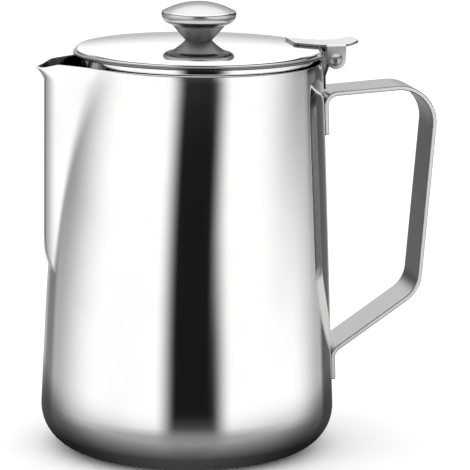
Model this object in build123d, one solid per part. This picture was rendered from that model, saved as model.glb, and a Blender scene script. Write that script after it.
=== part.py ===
from build123d import *
import math
import os

os.makedirs("parts", exist_ok=True)

# Millimetres. Origin at the centre of the base, +Z up, handle towards +X, spout towards -X.

# Jug shell
body_height = 172.7
foot_radius = 65.9
mouth_radius = 54.7
mouth_offset = 3.7
neck_start = 60.0
base_corner_radius = 18.5
wall = 0.9

# Spout pressed out of the wall
spout_reach = 64.5
spout_half_angle = 50.0
spout_nose_radius = 8.0
spout_root = 38.5
spout_toe_height = 95.0
spout_toe_radius = 30.0
spout_toe_sweep = 35.0
lip_height = 12.0
lip_flare = 5.3
lip_half_angle = 44.0
lip_droop = 2.7
lip_droop_run = 6.0

# Handle strap
handle_width = 24.0
handle_thickness = 2.0
handle_edge_radius = 0.5
handle_drop = 12.1
handle_slope = 4.3
grip_standoff = 45.2
lower_strap_slope = 34.8
lower_strap_height = 42.0
flange_top_length = 18.0
flange_bottom_length = 12.6
wall_bend_radius = 5.5
top_bend_radius = 16.0
low_bend_radius = 14.5

# Lid
lid_radius = 55.05
lid_sheet = 0.8
lid_lift = 2.3
lid_hem = 1.7
lid_dome = 4.6
knob_seat_radius = 6.5
crown_radius = 700.0
crown_reach = 36.0
plug_clearance = 2.2
plug_depth = 6.5

# Hinge
hinge_standoff = 5.1
hinge_rise = 0.4
pin_radius = 1.5
pin_head_radius = 2.8
pin_head_height = 1.5
pin_running_gap = 0.05
pin_seat_gap = 0.01
bracket_sheet = 1.1
bracket_foot = 13.2
bracket_neck_drop = 7.4
strap_width = 20.0
strap_sheet = 1.0
strap_gap = 0.4
strap_over_pin = 4.6
strap_inner_reach = 40.8
strap_level_start = 8.0
ear_radius = 4.4
tab_reach = 11.1
tab_rise = 0.9
tab_level = 5.0
tab_corner_radius = 7.0
strap_corner_radius = 1.5
strap_bend_radius = 19.0

# Knob
knob_radius = 16.5
knob_sheet = 0.9
stem_foot_radius = 5.8
stem_top_radius = 11.8
stem_height = 6.8
stem_floor = 1.2
rim_height = 3.8
rim_lip = 1.4
rim_bulge = 0.8
rim_bow_angle = 55.0
cap_height = 6.5
cap_seam = 0.35

# Knob fixing
screw_radius = 2.0
screw_gap = 0.2
thread_gap = 0.01
screw_head_radius = 3.6
screw_head_height = 2.4
screw_end_gap = 0.8
washer_radius = 4.6
washer_thickness = 0.8
insert_radius = 4.4
insert_height = 5.0

# Overlength of cutting bodies past what they cut, and how a block stands on its place
margin = 4.0
standing = (Align.CENTER, Align.CENTER, Align.MIN)


def reach(z):
    """Distance of the wall from the jug's axis on the handle side at height z."""
    return foot_radius + (mouth_radius + mouth_offset - foot_radius) * z / body_height


def shift(z):
    """Offset of the wall's circle towards the handle at height z."""
    if z <= neck_start:
        return 0.0
    return mouth_offset * ((z - neck_start) / (body_height - neck_start)) ** 2


def wall_radius(z):
    """Radius of the wall's circle at height z."""
    return reach(z) - shift(z)


def level_inset(inset):
    """Horizontal distance that insets the leaning wall by a distance square to its face."""
    return inset * math.hypot(1.0, (foot_radius - reach(neck_start)) / neck_start)


def side_face(points):
    """Face in the plane of symmetry from a closed loop of (x, z) points."""
    return Plane.XZ * make_face(Polyline(*points, close=True))


def foot_form(inset):
    """Rounded foot and straight cone of the shell, inset from its outer face."""
    outline = Polyline(
        (0.0, inset),
        (reach(inset) - level_inset(inset), inset),
        (reach(neck_start) - level_inset(inset), neck_start),
        (0.0, neck_start),
        close=True,
    )
    face = make_face(outline)
    corner = face.vertices().group_by(Axis.Y)[0].sort_by(Axis.X)[-1]
    face = fillet(corner, base_corner_radius - inset)
    return revolve(Plane.XZ * face, axis=Axis.Z)


def neck_form(inset):
    """Upper part of the shell, whose circle moves towards the handle as it rises."""
    sections = []
    levels = 6
    for step in range(levels + 1):
        z = neck_start + (body_height + margin - neck_start) * step / levels
        sections.append(Pos(shift(z), 0, z) * Circle(wall_radius(z) - level_inset(inset)))
    return loft(sections)


def spout_section(z, nose, half_angle, inset):
    """Level V of the spout with a round nose, closed by a chord inside the wall."""
    angle = math.radians(half_angle)
    radius = spout_nose_radius - inset
    centre = -(nose - inset) + radius
    apex = centre - radius / math.sin(angle)
    root_half = (-spout_root - apex) * math.tan(angle)
    tangent_x = centre - radius * math.sin(angle)
    tangent_y = radius * math.cos(angle)
    outline = [
        Line((-spout_root, root_half), (tangent_x, tangent_y)),
        ThreePointArc((tangent_x, tangent_y), (centre - radius, 0), (tangent_x, -tangent_y)),
        Line((tangent_x, -tangent_y), (-spout_root, -root_half)),
        Line((-spout_root, -root_half), (-spout_root, root_half)),
    ]
    return Pos(0, 0, z) * make_face(outline)


def spout_form(inset):
    """Pressed spout: an upright V with a rounded toe below and a flared lip above."""
    lip_start = body_height - lip_height
    sweep_angle = math.radians(spout_toe_sweep)
    toe_radius = spout_toe_radius - inset
    centre_x = -(spout_reach - spout_toe_radius)
    toe_low = spout_toe_height - toe_radius * math.sin(sweep_angle)
    toe_x = centre_x - toe_radius * math.cos(sweep_angle)
    nose_x = centre_x - toe_radius
    mid_x = centre_x - toe_radius * math.cos(sweep_angle / 2)
    mid_z = spout_toe_height - toe_radius * math.sin(sweep_angle / 2)
    side = [
        Line((-spout_root, toe_low), (toe_x, toe_low)),
        ThreePointArc((toe_x, toe_low), (mid_x, mid_z), (nose_x, spout_toe_height)),
        Line((nose_x, spout_toe_height), (nose_x, lip_start)),
        Line((nose_x, lip_start), (-spout_root, lip_start)),
        Line((-spout_root, lip_start), (-spout_root, toe_low)),
    ]
    profile = extrude(Plane.XZ * make_face(side), spout_reach, both=True)
    vee = extrude(spout_section(toe_low, spout_reach, spout_half_angle, inset), lip_start - toe_low)
    lip = []
    steps = 4
    for step in range(steps + 1):
        share = (1.0 + margin / lip_height) * step / steps
        z = lip_start + lip_height * share
        angle = spout_half_angle + (lip_half_angle - spout_half_angle) * share
        lip.append(spout_section(z, spout_reach + lip_flare * share ** 2, angle, inset))
    return (vee & profile) + loft(lip)


def shell_form(inset):
    """Whole shell as a solid, inset from its outer face and standing past the rim."""
    return foot_form(inset) + neck_form(inset) + spout_form(inset)


def lid_shoulder():
    """Radius and centre (r, z) of the arc that runs from the lid's crown down to its hem."""
    lean = math.asin((crown_reach - knob_seat_radius) / crown_radius)
    crown_end = lid_apex - crown_radius * (1.0 - math.cos(lean))
    run = lid_radius - lid_hem / 2 - crown_reach
    drop = hem_top - crown_end
    radius = -(run ** 2 + drop ** 2) / (2 * (run * math.sin(lean) + drop * math.cos(lean)))
    return radius, crown_reach - radius * math.sin(lean), crown_end - radius * math.cos(lean)


def lid_top(r):
    """Height of the lid's upper face at radius r from the lid's axis."""
    if r <= knob_seat_radius:
        return lid_apex
    if r <= crown_reach:
        return lid_apex - crown_radius + math.sqrt(crown_radius ** 2 - (r - knob_seat_radius) ** 2)
    radius, centre_r, centre_z = lid_shoulder()
    return centre_z + math.sqrt(radius ** 2 - (r - centre_r) ** 2)


def lid_arc(start, end, lower):
    """Arc of the lid's upper face between two radii, lowered by a distance."""
    middle = (start + end) / 2
    return ThreePointArc(
        (start, lid_top(start) - lower),
        (middle, lid_top(middle) - lower),
        (end, lid_top(end) - lower),
    )


def turned(edges):
    """Solid turned about the lid's axis from a closed loop of (r, z) edges."""
    return Pos(mouth_offset, 0, 0) * revolve(Plane.XZ * make_face(edges), axis=Axis.Z)


def upright_pin(radius, low, high):
    """Round bar about the lid's axis between two heights."""
    return Pos(mouth_offset, 0, low) * Cylinder(radius, high - low, align=standing)


def cross_pin(radius, length):
    """Round bar about the hinge axis, centred on the plane of symmetry."""
    return Pos(hinge_x, 0, hinge_z) * Rot(90, 0, 0) * Cylinder(radius, length)


# Heights and places that several pieces share
hem_bottom = body_height + lid_lift
hem_top = hem_bottom + lid_hem
lid_apex = hem_top + lid_dome
hinge_x = reach(body_height) + hinge_standoff
hinge_z = body_height + hinge_rise
strap_bottom = hinge_z + strap_over_pin
strap_middle = strap_bottom + strap_sheet / 2
ear_inside = strap_width / 2 - strap_sheet
bracket_width = 2 * (ear_inside - strap_gap)
handle_middle = body_height - handle_drop - handle_thickness / 2

# Jug body: the shell's outer form less its inner form, trimmed at the rim and the drooping lip
outer_form = shell_form(0.0)
inner_form = shell_form(wall)
above = 2 * margin + lip_height
rim_cut = Pos(0, 0, body_height + above / 2) * Box(4 * foot_radius, 4 * foot_radius, above)
droop_start = spout_reach + lip_flare - lip_droop_run
droop_angle = math.degrees(math.atan2(lip_droop, lip_droop_run))
lip_cut = Box(4 * lip_height, 4 * lip_height, above, align=(Align.MAX, Align.CENTER, Align.MIN))
lip_cut = Pos(-droop_start, 0, body_height) * Rot(0, -droop_angle, 0) * lip_cut
jug_body = outer_form - inner_form - rim_cut - lip_cut
export_step(jug_body, "parts/jug_body.step")

# Handle: a flat strap swept along its bends, with its flanges cut to the wall
sagitta = handle_width ** 2 / (8 * mouth_radius)
flange_inset = handle_thickness / 2 - sagitta
slope = math.tan(math.radians(handle_slope))
lower_slope = math.tan(math.radians(lower_strap_slope))
top_corner_x = reach(handle_middle) + flange_inset
grip_x = reach(handle_middle) + grip_standoff + handle_thickness / 2
low_corner_x = reach(lower_strap_height) + flange_inset
top_corner = (top_corner_x, handle_middle - slope * (grip_x - top_corner_x) / 2)
outer_corner_x = grip_x + slope * (handle_middle - lower_strap_height) / 2
outer_corner = (outer_corner_x, top_corner[1] + slope * (outer_corner_x - top_corner_x))
grip_run = outer_corner[1] - lower_strap_height - lower_slope * (outer_corner_x - low_corner_x)
grip_run = grip_run / (1.0 - lower_slope * slope)
low_bend = (outer_corner_x - slope * grip_run, outer_corner[1] - grip_run)
top_end_z = top_corner[1] - flange_top_length
low_end_z = lower_strap_height - flange_bottom_length
handle_points = [
    (reach(top_end_z) + flange_inset, top_end_z),
    top_corner,
    outer_corner,
    low_bend,
    (low_corner_x, lower_strap_height),
    (reach(low_end_z) + flange_inset, low_end_z),
]
bend_radii = [wall_bend_radius, top_bend_radius, low_bend_radius, wall_bend_radius]
handle_path = Plane.XZ * FilletPolyline(*handle_points, radius=bend_radii)
start_plane = Plane(handle_path @ 0, x_dir=(0, 1, 0), z_dir=handle_path % 0)
strap_section = start_plane * RectangleRounded(handle_width, handle_thickness, handle_edge_radius)
wall_block = foot_form(0.0) + neck_form(0.0)
handle = sweep(strap_section, path=handle_path) - wall_block
export_step(handle, "parts/handle.step")

# Hinge bracket: a plate bent to the wall, rising to a knuckle rolled round the pin
knuckle_bore = pin_radius + pin_running_gap
knuckle_radius = knuckle_bore + bracket_sheet
neck_z = hinge_z - bracket_neck_drop
foot_z = neck_z - (bracket_foot - bracket_neck_drop)
plate = neck_form(-bracket_sheet) - neck_form(0.0)
plate_height = neck_z - foot_z
plate_zone = Box(bracket_width, bracket_width, plate_height, align=standing)
plate_zone = Pos(reach(neck_z), 0, foot_z) * plate_zone
neck_points = [
    (hinge_x - knuckle_radius, hinge_z),
    (hinge_x - knuckle_bore, hinge_z),
    (reach(neck_z) + bracket_sheet, neck_z),
    (reach(neck_z) - 2 * bracket_sheet, neck_z),
    (reach(neck_z) - 2 * bracket_sheet, neck_z + bracket_sheet),
    (reach(neck_z), neck_z + bracket_sheet),
]
neck = extrude(side_face(neck_points), bracket_width / 2, both=True) - neck_form(0.0)
knuckle = cross_pin(knuckle_radius, bracket_width)
hinge_bracket = (plate & plate_zone) + neck + knuckle - cross_pin(knuckle_bore, 2 * bracket_width)
export_step(hinge_bracket, "parts/hinge_bracket.step")

# Hinge pin: a rivet with a domed head outside each ear
head_seat = strap_width / 2
head_end = head_seat + pin_head_height
dome_radius = (pin_head_radius ** 2 + pin_head_height ** 2) / (2 * pin_head_height)
dome_half_r = pin_head_radius / 2
dome_half = head_end - dome_radius + math.sqrt(dome_radius ** 2 - dome_half_r ** 2)
pin_profile = [
    Line((0, head_end), (0, -head_end)),
    ThreePointArc((0, -head_end), (dome_half_r, -dome_half), (pin_head_radius, -head_seat)),
    Line((pin_head_radius, -head_seat), (pin_radius, -head_seat)),
    Line((pin_radius, -head_seat), (pin_radius, head_seat)),
    Line((pin_radius, head_seat), (pin_head_radius, head_seat)),
    ThreePointArc((pin_head_radius, head_seat), (dome_half_r, dome_half), (0, head_end)),
]
rivet = revolve(Plane.XZ * make_face(pin_profile), axis=Axis.Z)
hinge_pin = Pos(hinge_x, 0, hinge_z) * Rot(90, 0, 0) * rivet
export_step(hinge_pin, "parts/hinge_pin.step")

# Lid: a shallow dome with a hem folded under and a plug skirt that drops into the mouth
plug_radius = mouth_radius - wall - plug_clearance
plug_inside = plug_radius - lid_sheet
hem_inside = lid_radius - lid_hem / 2
hole_radius = screw_radius + screw_gap
lid_profile = [
    Line((hole_radius, lid_apex), (knob_seat_radius, lid_apex)),
    lid_arc(knob_seat_radius, crown_reach, 0.0),
    lid_arc(crown_reach, hem_inside, 0.0),
    ThreePointArc((hem_inside, hem_top), (lid_radius, hem_bottom + lid_hem / 2), (hem_inside, hem_bottom)),
    Line((hem_inside, hem_bottom), (plug_radius, hem_bottom)),
    Line((plug_radius, hem_bottom), (plug_radius, hem_bottom - plug_depth)),
    Line((plug_radius, hem_bottom - plug_depth), (plug_inside, hem_bottom - plug_depth)),
    Line((plug_inside, hem_bottom - plug_depth), (plug_inside, lid_top(plug_inside) - lid_sheet)),
    lid_arc(plug_inside, crown_reach, lid_sheet),
    lid_arc(crown_reach, knob_seat_radius, lid_sheet),
    Line((knob_seat_radius, lid_apex - lid_sheet), (hole_radius, lid_apex - lid_sheet)),
    Line((hole_radius, lid_apex - lid_sheet), (hole_radius, lid_apex)),
]
lid = turned(lid_profile)
export_step(lid, "parts/lid.step")

# Lid strap: seated on the dome, level over the hinge, swept up to the thumb tab, with two ears
inner_x = mouth_offset + strap_inner_reach
tip_x = hinge_x + tab_reach
seat_z = lid_top(strap_inner_reach) + strap_sheet / 2
level_from = hinge_x - strap_level_start
level_to = hinge_x + tab_level
seat_slope = (seat_z - strap_middle) / (level_from - inner_x)
tab_slope = tab_rise / (tip_x - level_to)
strap_points = [
    (inner_x - margin, seat_z + margin * seat_slope),
    (level_from, strap_middle),
    (level_to, strap_middle),
    (tip_x + margin, strap_middle + tab_rise + margin * tab_slope),
]
strap_path = Plane.XZ * FilletPolyline(*strap_points, radius=strap_bend_radius)
strap_plane = Plane(strap_path @ 0, x_dir=(0, 1, 0), z_dir=strap_path % 0)
strap = sweep(strap_plane * Rectangle(strap_width + margin, strap_sheet), path=strap_path)
plan = Pos((inner_x + tip_x) / 2, 0) * Rectangle(tip_x - inner_x, strap_width)
plan = fillet(plan.vertices().group_by(Axis.X)[-1], tab_corner_radius)
plan = fillet(plan.vertices().group_by(Axis.X)[0], strap_corner_radius)
strap = strap & extrude(plan, 2 * lid_apex)
dome = [
    Line((0, hem_bottom), (0, lid_apex)),
    Line((0, lid_apex), (knob_seat_radius, lid_apex)),
    lid_arc(knob_seat_radius, crown_reach, 0.0),
    lid_arc(crown_reach, hem_inside, 0.0),
    Line((hem_inside, hem_top), (hem_inside, hem_bottom)),
    Line((hem_inside, hem_bottom), (0, hem_bottom)),
]
ear_face = Pos(hinge_x, hinge_z) * Circle(ear_radius)
ear_rise = strap_middle - hinge_z
ear_face += Pos(hinge_x, hinge_z + ear_rise / 2) * Rectangle(2 * ear_radius, ear_rise)
ears = extrude(Plane.XZ * ear_face, strap_width / 2, both=True)
ears -= Pos(hinge_x, 0, hinge_z) * Box(4 * ear_radius, 2 * ear_inside, 4 * ear_radius)
lid_strap = strap + ears - turned(dome) - cross_pin(pin_radius + pin_seat_gap, 2 * strap_width)
export_step(lid_strap, "parts/lid_strap.step")

# Knob stem: inverted cone with a floor, opening into the lower rim of the knob
stem_top = lid_apex + stem_height
rim_top = stem_top + rim_height
rim_low = stem_top + rim_bulge
rim_start = stem_top_radius + rim_lip
cone_lean = (stem_top_radius - stem_foot_radius) / stem_height
floor_top = lid_apex + stem_floor
cone_wall = knob_sheet * math.hypot(1.0, cone_lean)
floor_radius = stem_foot_radius + cone_lean * stem_floor - cone_wall
shelf_z = rim_low + knob_sheet
shelf_radius = stem_top_radius + cone_lean * (shelf_z - stem_top) - cone_wall
bow_run = math.sin(math.radians(rim_bow_angle))
bow_rise = math.cos(math.radians(rim_bow_angle))
rim_mid_r = rim_start + (knob_radius - rim_start) * bow_run
rim_mid_z = rim_top - (rim_top - rim_low) * bow_rise
stem_profile = [
    Line((hole_radius, lid_apex), (stem_foot_radius, lid_apex)),
    Line((stem_foot_radius, lid_apex), (stem_top_radius, stem_top)),
    Line((stem_top_radius, stem_top), (rim_start, rim_low)),
    ThreePointArc((rim_start, rim_low), (rim_mid_r, rim_mid_z), (knob_radius, rim_top)),
    Line((knob_radius, rim_top), (knob_radius - knob_sheet, rim_top)),
    ThreePointArc(
        (knob_radius - knob_sheet, rim_top),
        (rim_mid_r - knob_sheet * bow_run, rim_mid_z + knob_sheet * bow_rise),
        (rim_start, shelf_z),
    ),
    Line((rim_start, shelf_z), (shelf_radius, shelf_z)),
    Line((shelf_radius, shelf_z), (floor_radius, floor_top)),
    Line((floor_radius, floor_top), (hole_radius, floor_top)),
    Line((hole_radius, floor_top), (hole_radius, lid_apex)),
]
knob_stem = turned(stem_profile)
export_step(knob_stem, "parts/knob_stem.step")

# Knob cap: domed shell standing on the rim, with a fine groove at the seam
cap_radius = knob_radius - cap_seam
cap_top = rim_top + cap_height
cap_curve = (cap_radius ** 2 + cap_height ** 2) / (2 * cap_height)
cap_inside = math.sqrt((cap_curve - knob_sheet) ** 2 - (cap_curve - cap_height) ** 2)
cap_centre = cap_top - cap_curve


def cap_arc(radius, start_r, end_r):
    """Arc of the cap's dome about its own centre between two radii from the axis."""
    middle = (start_r + end_r) / 2
    height = [cap_centre + math.sqrt(radius ** 2 - r ** 2) for r in (start_r, middle, end_r)]
    return ThreePointArc((start_r, height[0]), (middle, height[1]), (end_r, height[2]))


cap_profile = [
    cap_arc(cap_curve, cap_radius, 0.0),
    Line((0, cap_top), (0, cap_top - knob_sheet)),
    cap_arc(cap_curve - knob_sheet, 0.0, cap_inside),
    Line((cap_inside, rim_top), (cap_radius, rim_top)),
]
knob_cap = turned(cap_profile)
export_step(knob_cap, "parts/knob_cap.step")

# Knob insert: threaded bush on the stem's floor
insert_top = floor_top + insert_height
insert = upright_pin(insert_radius, floor_top, insert_top)
knob_insert = insert - upright_pin(screw_radius + thread_gap, floor_top - margin, insert_top + margin)
export_step(knob_insert, "parts/knob_insert.step")

# Washer and screw beneath the lid
washer_top = lid_apex - lid_sheet
washer_bottom = washer_top - washer_thickness
washer = upright_pin(washer_radius, washer_bottom, washer_top)
knob_washer = washer - upright_pin(hole_radius, washer_bottom - margin, washer_top + margin)
export_step(knob_washer, "parts/knob_washer.step")
head_low = washer_bottom - screw_head_height
screw_head = upright_pin(screw_head_radius, head_low, washer_bottom)
screw_head = fillet(screw_head.edges().group_by(Axis.Z)[0], screw_head_height / 2)
shank = upright_pin(screw_radius, washer_bottom, insert_top - screw_end_gap)
knob_screw = screw_head + shank
export_step(knob_screw, "parts/knob_screw.step")
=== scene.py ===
"""Looks of a hot milk jug: polished shell, lid and knob, a satin strap handle and a riveted hinge."""
import logging
import math
from collections.abc import Callable, Sequence
from dataclasses import dataclass, field
from enum import Enum

import bmesh
import bpy
from mathutils import Matrix, Vector


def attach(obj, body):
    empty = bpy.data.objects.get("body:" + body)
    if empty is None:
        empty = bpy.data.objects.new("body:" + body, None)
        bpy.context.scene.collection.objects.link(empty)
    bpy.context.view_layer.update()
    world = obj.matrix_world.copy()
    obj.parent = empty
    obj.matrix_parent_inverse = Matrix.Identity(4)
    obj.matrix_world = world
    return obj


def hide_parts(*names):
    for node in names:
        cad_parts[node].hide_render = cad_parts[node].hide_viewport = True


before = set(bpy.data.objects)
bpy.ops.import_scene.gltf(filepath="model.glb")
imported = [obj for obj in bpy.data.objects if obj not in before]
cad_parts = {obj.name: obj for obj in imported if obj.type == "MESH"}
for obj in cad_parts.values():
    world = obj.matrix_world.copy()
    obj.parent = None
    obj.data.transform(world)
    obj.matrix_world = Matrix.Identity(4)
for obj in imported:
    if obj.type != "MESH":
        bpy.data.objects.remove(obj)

LOG = logging.getLogger("hot_milk_jug")
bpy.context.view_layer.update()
RIM_HEIGHT = 0.1727
# Place along X of the mouth's centre and of the lid's axis
MOUTH_CENTRE = 0.0037
SHARP_ANGLE = math.radians(32.0)
BEVEL_ANGLE = math.radians(50.0)
MERGE_DISTANCE = 1e-7
# Numbers of the second and the third finish of a piece
SECOND_LOOK = 1
THIRD_LOOK = 2
Plan = tuple[float, float]
Colour = tuple[float, float, float]
Socket = bpy.types.NodeSocket
Feed = Socket | float | tuple[float, ...]


class Body(Enum):
    """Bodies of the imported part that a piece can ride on."""

    JUG = "jug"
    LID = "lid"


class Slot(Enum):
    """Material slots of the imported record."""

    SHELL = "polished_shell"
    LID = "polished_lid"
    KNOB = "polished_knob"
    STRAP = "satin_strap"
    HINGE = "hinge_steel"
    FIXING = "fixing_steel"


class Grain(Enum):
    """Way that the polishing or brushing lines of a finish run."""

    LEVEL = "level rings round the jug"
    TURNED = "rings about the lid's axis"
    ALONG = "lines along a bent strap"
    PLAIN = "no direction"


class Way(Enum):
    """Interpolation of a ramp or of a mapped range."""

    EVEN = "LINEAR"
    EASED = "EASE"
    SMOOTH = "SMOOTHSTEP"


class Side(Enum):
    """Side of a skin that the thickness of its sheet goes to."""

    INNER = -1.0
    BOTH = 0.0


def grey(level: float) -> tuple[float, float, float, float]:
    """Grey of a brightness, as an opaque colour."""
    return level, level, level, 1.0


def soft_max(first: float, second: float, width: float) -> float:
    """Larger of two numbers, with the corner between them rounded over a width."""
    share = max(width - abs(first - second), 0.0) / width
    return max(first, second) + share * share * width / 4


def soft_min(first: float, second: float, width: float) -> float:
    """Smaller of two numbers, with the corner between them rounded over a width."""
    return -soft_max(-first, -second, width)


def soft_ramp(distance: float, half: float) -> float:
    """Ramp that is 0 before the origin and rises one for one after it, rounded over a half width."""
    return distance if distance >= half else max(distance + half, 0.0) ** 2 / (4 * half)


def dome_bow(radius: float, height: float) -> float:
    """Bow of a dome's profile, from the chord between its edge and its top.

    Args:
        radius: Radius of the dome's edge.
        height: Height of the dome.

    Returns:
        Largest distance between the arc and its chord.
    """
    curve = (radius ** 2 + height ** 2) / (2 * height)
    chord = math.hypot(radius, height)
    return curve - math.sqrt(curve ** 2 - (chord / 2) ** 2)


@dataclass(frozen=True)
class NodeBoard:
    """Node tree of a material or of the world, with short ways to add nodes and link them."""

    tree: bpy.types.NodeTree

    def feed(self, node: bpy.types.Node, inputs: dict[str | int, Feed]) -> None:
        """Sets inputs of a node.

        Args:
            node: Node of the tree.
            inputs: Value of each input, or the output that is linked to it.
        """
        for key, value in inputs.items():
            if isinstance(value, Socket):
                self.tree.links.new(value, node.inputs[key])
            else:
                node.inputs[key].default_value = value

    def add(self, kind: str, inputs: dict[str | int, Feed], **settings: str) -> bpy.types.Node:
        """Adds a node.

        Args:
            kind: Type of the node.
            inputs: Value of each input, or the output that is linked to it.
            settings: Properties of the node, which are set before its inputs.

        Returns:
            The node.
        """
        node = self.tree.nodes.new(kind)
        for name, value in settings.items():
            setattr(node, name, value)
        self.feed(node, inputs)
        return node

    def place(self) -> Socket:
        """Object coordinates."""
        return self.add("ShaderNodeTexCoord", {}).outputs["Object"]

    def math(self, operation: str, *values: Feed) -> Socket:
        """Result of an operation on numbers."""
        return self.add("ShaderNodeMath", dict(enumerate(values)), operation=operation).outputs["Value"]

    def vector(self, operation: str, output: str, inputs: dict[str | int, Feed]) -> Socket:
        """Output of an operation on vectors."""
        return self.add("ShaderNodeVectorMath", inputs, operation=operation).outputs[output]

    def split(self, vector: Socket) -> dict[str, Socket]:
        """Parts of a vector, by the names X, Y and Z."""
        outputs = self.add("ShaderNodeSeparateXYZ", {"Vector": vector}).outputs
        return {axis: outputs[axis] for axis in "XYZ"}

    def join(self, x: Socket, y: Socket) -> Socket:
        """Level vector of two parts."""
        return self.add("ShaderNodeCombineXYZ", {"X": x, "Y": y}).outputs["Vector"]

    def mapped(self, value: Socket, start: Plan, end: Plan = (0.0, 1.0), way: Way = Way.EVEN) -> Socket:
        """Brings a number from one range to another and keeps it there.

        Args:
            value: Number to bring over.
            start: Range that it comes from.
            end: Range that it goes to.
            way: Interpolation between the ends.

        Returns:
            The number in its new range.
        """
        inputs = {"Value": value, "From Min": start[0], "From Max": start[1]}
        inputs |= {"To Min": end[0], "To Max": end[1]}
        return self.add("ShaderNodeMapRange", inputs, interpolation_type=way.value).outputs["Result"]

    def mix(self, share: Socket, first: Feed, second: Feed) -> Socket:
        """Colour between two others."""
        inputs = {"Factor": share, "A": first, "B": second}
        return self.add("ShaderNodeMix", inputs, data_type="RGBA").outputs["Result"]

    def shade(self, share: Socket, first: Socket, second: Socket) -> Socket:
        """Shader between two others."""
        return self.add("ShaderNodeMixShader", {"Fac": share, 1: first, 2: second}).outputs["Shader"]

    def ramp(self, share: Socket, stops: Sequence[tuple[float, Colour]], way: Way = Way.EVEN) -> Socket:
        """Colour ramp.

        Args:
            share: Place on the ramp.
            stops: Places and colours, in order.
            way: Interpolation between the stops.

        Returns:
            The ramp's colour.
        """
        node = self.add("ShaderNodeValToRGB", {"Fac": share})
        node.color_ramp.interpolation = way.value
        while len(node.color_ramp.elements) < len(stops):
            node.color_ramp.elements.new(0.5)
        for element, (place, colour) in zip(node.color_ramp.elements, stops):
            element.position = place
            element.color = (*colour, 1.0)
        return node.outputs["Color"]

    def greys(self, share: Socket, stops: Sequence[Plan], way: Way = Way.EVEN) -> Socket:
        """Ramp of greys, from stops of (place, brightness)."""
        return self.ramp(share, [(place, (light, light, light)) for place, light in stops], way)


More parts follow.
